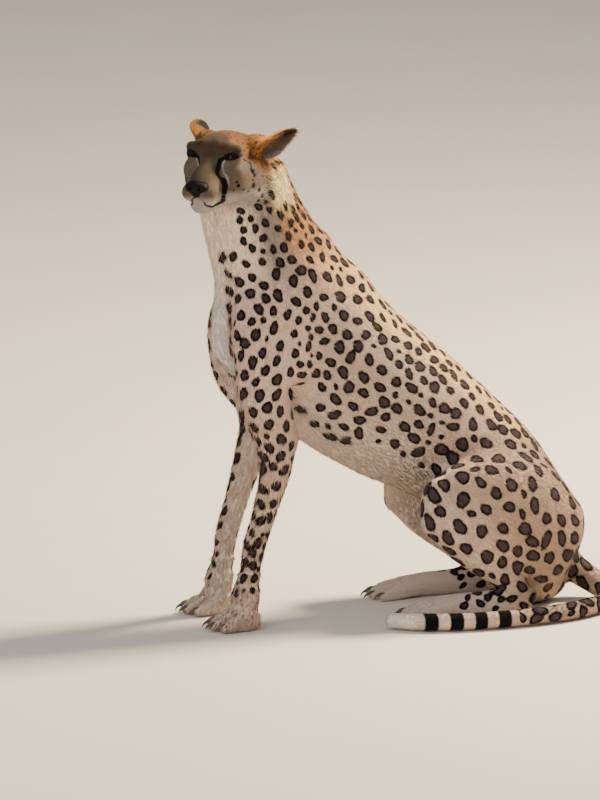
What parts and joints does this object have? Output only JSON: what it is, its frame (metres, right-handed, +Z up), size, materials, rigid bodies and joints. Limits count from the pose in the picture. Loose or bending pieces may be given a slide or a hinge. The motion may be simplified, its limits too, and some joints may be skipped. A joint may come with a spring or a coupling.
{
  "type": "cheetah",
  "caption": "Life-size cheetah sitting on its haunches on straight forelegs, head turned to its left, ears swept back, tail laid on the floor round its left side.",
  "frame": {"origin": "on the floor, under the middle of the bounding box", "axes": "-Y the way the chest faces, +X the animal's left, +Z up"},
  "size_m": [0.3936, 0.868, 0.938],
  "materials": {
    "coat": "short dense fur, buff with near-black round spots, cream to white underneath",
    "ear": "short fur, dark patch on the back",
    "nose": "damp black leather, also on the paw pads and lips",
    "eye": "wet, amber iris with a round pupil",
    "claw": "worn dark horn"
  },
  "bodies": {
    "root": {"belly": "coat", "chest": "coat", "claw_fore_left_1": "claw", "claw_fore_left_2": "claw", "claw_fore_left_3": "claw", "claw_fore_left_4": "claw", "claw_fore_right_1": "claw", "claw_fore_right_2": "claw", "claw_fore_right_3": "claw", "claw_fore_right_4": "claw", "claw_hind_left_1": "claw", "claw_hind_left_2": "claw", "claw_hind_left_3": "claw", "claw_hind_left_4": "claw", "claw_hind_right_1": "claw", "claw_hind_right_2": "claw", "claw_hind_right_3": "claw", "claw_hind_right_4": "claw", "ear_left": "ear", "ear_right": "ear", "eye_left": "eye", "eye_right": "eye", "forearm_left": "coat", "forearm_right": "coat", "forepaw_left": "coat", "forepaw_right": "coat", "head": "coat", "hindfoot_left": "coat", "hindfoot_right": "coat", "neck": "coat", "nose": "nose", "rump": "coat", "shank_left": "coat", "shank_right": "coat", "tail_middle": "coat", "tail_root": "coat", "tail_tip": "coat", "thigh_left": "coat", "thigh_right": "coat", "upper_arm_left": "coat", "upper_arm_right": "coat"}
  },
  "joints": []
}
